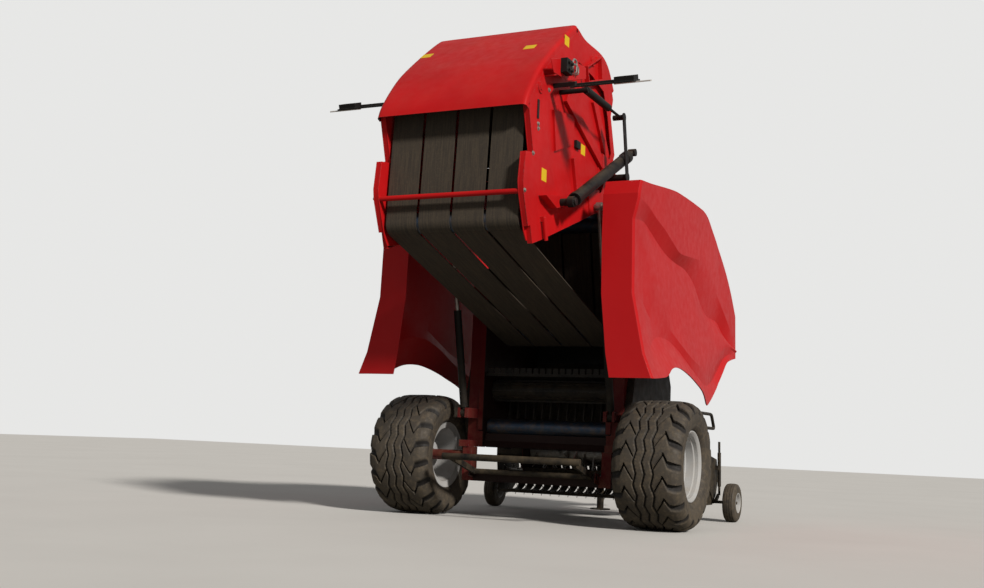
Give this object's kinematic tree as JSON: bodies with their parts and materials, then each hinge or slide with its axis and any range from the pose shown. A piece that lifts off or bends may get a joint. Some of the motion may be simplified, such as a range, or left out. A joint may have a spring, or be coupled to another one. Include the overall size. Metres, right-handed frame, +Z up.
{
  "type": "round baler",
  "caption": "Towed variable-chamber round baler with its tailgate raised, belts, tined pick-up, side panels, drawbar, jack and two flotation wheels.",
  "frame": {"origin": "on the ground, below the middle of the machine's overall length and width", "axes": "+X to the machine's right, +Y forward to the hitch, +Z up"},
  "size_m": [2.96, 5.2972, 4.2056],
  "materials": {
    "red_paint": "gloss",
    "dark_red_paint": "satin",
    "black_paint": "satin",
    "belt_rubber": "matte",
    "tyre_rubber": "matte",
    "rim_silver": "satin",
    "bare_steel": "worn",
    "roller_steel": "polished",
    "panel_red": "gloss",
    "board_white": "gloss"
  },
  "bodies": {
    "frame": {"axle": "dark_red_paint", "frame_walls": "red_paint", "chassis": "dark_red_paint", "chamber_front": "black_paint", "drawbar": "dark_red_paint", "hitch": "bare_steel", "jack": "black_paint", "gearbox": "black_paint", "drive_covers": "black_paint", "guard_rails": "black_paint", "feed_housing": "black_paint", "frame_rollers": "roller_steel", "frame_belts": "belt_rubber", "crossing_belts": "belt_rubber", "panel_arms": "black_paint"},
    "tailgate": {"gate_sides": "red_paint", "gate_hood": "red_paint", "gate_bar": "red_paint", "gate_rollers": "roller_steel", "gate_belts": "belt_rubber", "tension_levers": "black_paint", "tension_cylinders": "black_paint", "light_boards": "board_white"},
    "net_lid": {"net_box_lid": "red_paint"},
    "drive_shaft": {"pto_shaft": "black_paint"},
    "starter": {"starter_roller": "black_paint"},
    "floor_drum": {"floor_roller": "roller_steel"},
    "rotor": {"feed_rotor": "bare_steel"},
    "barrel_right": {"lift_barrel_right": "black_paint"},
    "barrel_left": {"lift_barrel_left": "black_paint"},
    "rod_right": {"lift_rod_right": "bare_steel"},
    "rod_left": {"lift_rod_left": "bare_steel"},
    "panel_right": {"side_panel_right": "panel_red"},
    "panel_left": {"side_panel_left": "panel_red"},
    "wheel_right": {"tyre_right": "tyre_rubber", "rim_right": "rim_silver"},
    "wheel_left": {"tyre_left": "tyre_rubber", "rim_left": "rim_silver"},
    "pickup": {"pickup_frame": "black_paint", "wind_guard": "black_paint"},
    "reel": {"pickup_reel": "bare_steel"},
    "gauge_right": {"gauge_wheel_right": "tyre_rubber"},
    "gauge_left": {"gauge_wheel_left": "tyre_rubber"},
    "bale_kicker": {"kicker": "black_paint"}
  },
  "joints": [
    {"name": "tailgate_swing", "type": "hinge", "parent": "frame", "child": "tailgate", "pos_m": [0, -0.383, 2.75], "axis": [1, 0, 0], "range_deg": [0, 70], "deforming": ["crossing_belts"]},
    {"name": "lift_barrel_right", "type": "hinge", "parent": "frame", "child": "barrel_right", "pos_m": [0.722, -0.73, 0.95], "axis": [1, 0, 0], "range_deg": [-18.91, 0.5]},
    {"name": "lift_barrel_left", "type": "hinge", "parent": "frame", "child": "barrel_left", "pos_m": [-0.722, -0.73, 0.95], "axis": [1, 0, 0], "range_deg": [-18.91, 0.5]},
    {"name": "lift_rod_right", "type": "slide", "parent": "barrel_right", "child": "rod_right", "axis": [0, -0.2428, 0.9701], "range_m": [-0.8017, 0.005]},
    {"name": "lift_rod_left", "type": "slide", "parent": "barrel_left", "child": "rod_left", "axis": [0, -0.2428, 0.9701], "range_m": [-0.8017, 0.005]},
    {"name": "panel_right_lift", "type": "hinge", "parent": "frame", "child": "panel_right", "pos_m": [0.925, 0.1, 2.95], "axis": [0, -1, 0], "range_deg": [0, 65]},
    {"name": "panel_left_lift", "type": "hinge", "parent": "frame", "child": "panel_left", "pos_m": [-0.925, 0.1, 2.95], "axis": [0, 1, 0], "range_deg": [0, 65]},
    {"name": "wheel_right_spin", "type": "hinge", "parent": "frame", "child": "wheel_right", "pos_m": [1.18, -0.65, 0.555], "axis": [1, 0, 0], "continuous": true},
    {"name": "wheel_left_spin", "type": "hinge", "parent": "frame", "child": "wheel_left", "pos_m": [-1.18, -0.65, 0.555], "axis": [1, 0, 0], "continuous": true},
    {"name": "pickup_lift", "type": "hinge", "parent": "frame", "child": "pickup", "pos_m": [0, 0.64, 0.6], "axis": [1, 0, 0], "range_deg": [0, 14]},
    {"name": "reel_spin", "type": "hinge", "parent": "pickup", "child": "reel", "pos_m": [0, 1.15, 0.375], "axis": [1, 0, 0], "continuous": true},
    {"name": "gauge_right_spin", "type": "hinge", "parent": "pickup", "child": "gauge_right", "pos_m": [1.31, 1.25, 0.19], "axis": [1, 0, 0], "continuous": true},
    {"name": "gauge_left_spin", "type": "hinge", "parent": "pickup", "child": "gauge_left", "pos_m": [-1.31, 1.25, 0.19], "axis": [1, 0, 0], "continuous": true},
    {"name": "rotor_spin", "type": "hinge", "parent": "frame", "child": "rotor", "pos_m": [0, 0.64, 0.6], "axis": [1, 0, 0], "continuous": true},
    {"name": "starter_spin", "type": "hinge", "parent": "frame", "child": "starter", "pos_m": [0, -0.315, 1.182], "axis": [1, 0, 0], "continuous": true},
    {"name": "floor_spin", "type": "hinge", "parent": "frame", "child": "floor_drum", "pos_m": [0, -0.418, 0.836], "axis": [1, 0, 0], "continuous": true},
    {"name": "drive_shaft_spin", "type": "hinge", "parent": "frame", "child": "drive_shaft", "pos_m": [0, 0.85, 1.13], "axis": [0, 0.9794, -0.202], "continuous": true},
    {"name": "net_lid_lift", "type": "hinge", "parent": "frame", "child": "net_lid", "pos_m": [0, 0.47, 2.61], "axis": [1, 0, 0], "range_deg": [0, 60]},
    {"name": "kicker_swing", "type": "hinge", "parent": "frame", "child": "bale_kicker", "pos_m": [0, -0.765, 0.42], "axis": [1, 0, 0], "range_deg": [0, 18]}
  ],
  "couplings": [
    {"joint": "lift_barrel_right", "follows": "tailgate_swing", "ratio": -0.26297},
    {"joint": "lift_rod_right", "follows": "tailgate_swing", "m_per_rad": -0.65209},
    {"joint": "lift_barrel_left", "follows": "tailgate_swing", "ratio": -0.26297},
    {"joint": "lift_rod_left", "follows": "tailgate_swing", "m_per_rad": -0.65209},
    {"joint": "floor_spin", "follows": "starter_spin", "ratio": 1.5}
  ]
}
